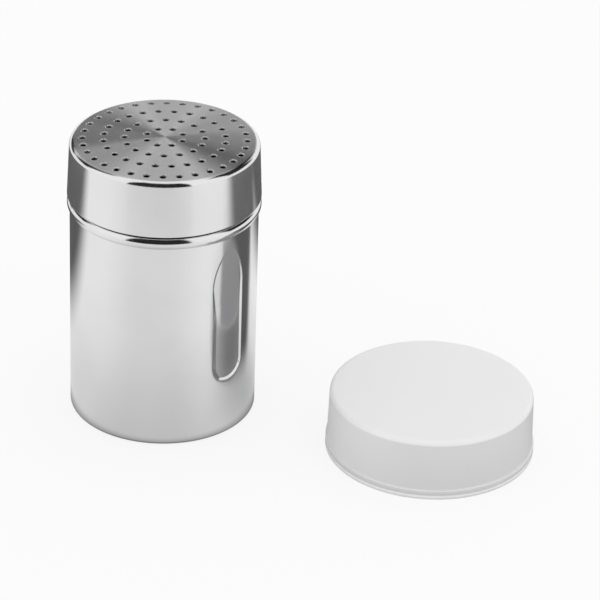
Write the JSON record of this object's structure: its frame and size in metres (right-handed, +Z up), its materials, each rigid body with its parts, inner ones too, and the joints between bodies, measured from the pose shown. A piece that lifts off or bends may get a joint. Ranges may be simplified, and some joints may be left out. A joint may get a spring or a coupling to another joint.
{
  "type": "spice shaker with cover cap",
  "caption": "Round steel table shaker with finger dimples, a screw-on perforated lid and a loose milky cover cap standing beside it.",
  "frame": {"origin": "middle of the shaker's foot, on the plane it stands on", "axes": "+Z up along the shaker's axis, +X towards the cover cap that stands beside it, -Y towards the side the picture is taken from"},
  "size_m": [0.1606, 0.0939, 0.101],
  "materials": {
    "cup_steel": "polished stainless steel, soft mirror",
    "foot_steel": "dull stainless steel, as rolled",
    "seal_rubber": "white food-grade silicone",
    "lid_steel": "polished stainless steel, soft mirror",
    "cap_plastic": "translucent milky polyethylene, satin outside"
  },
  "bodies": {
    "shaker": {"body_shell": "cup_steel", "base_disc": "foot_steel"},
    "lid_carrier": {"lid_seal": "seal_rubber"},
    "lid": {"lid_shell": "lid_steel"},
    "cap": {"cover_cap": "cap_plastic"}
  },
  "joints": [
    {"name": "lid_lift", "type": "slide", "parent": "shaker", "child": "lid_carrier", "axis": [0, 0, 1], "range_m": [0, 0.02]},
    {"name": "lid_turn", "type": "hinge", "parent": "lid_carrier", "child": "lid", "pos_m": [0, 0, 0.09], "axis": [0, 0, 1], "range_deg": [0, 720]},
    {"name": "cap_lift", "type": "slide", "parent": "shaker", "child": "cap", "axis": [0, 0, 1], "range_m": [0, 0.12]}
  ],
  "couplings": [
    {"joint": "lid_lift", "follows": "lid_turn", "m_per_rad": 0.0015915}
  ]
}
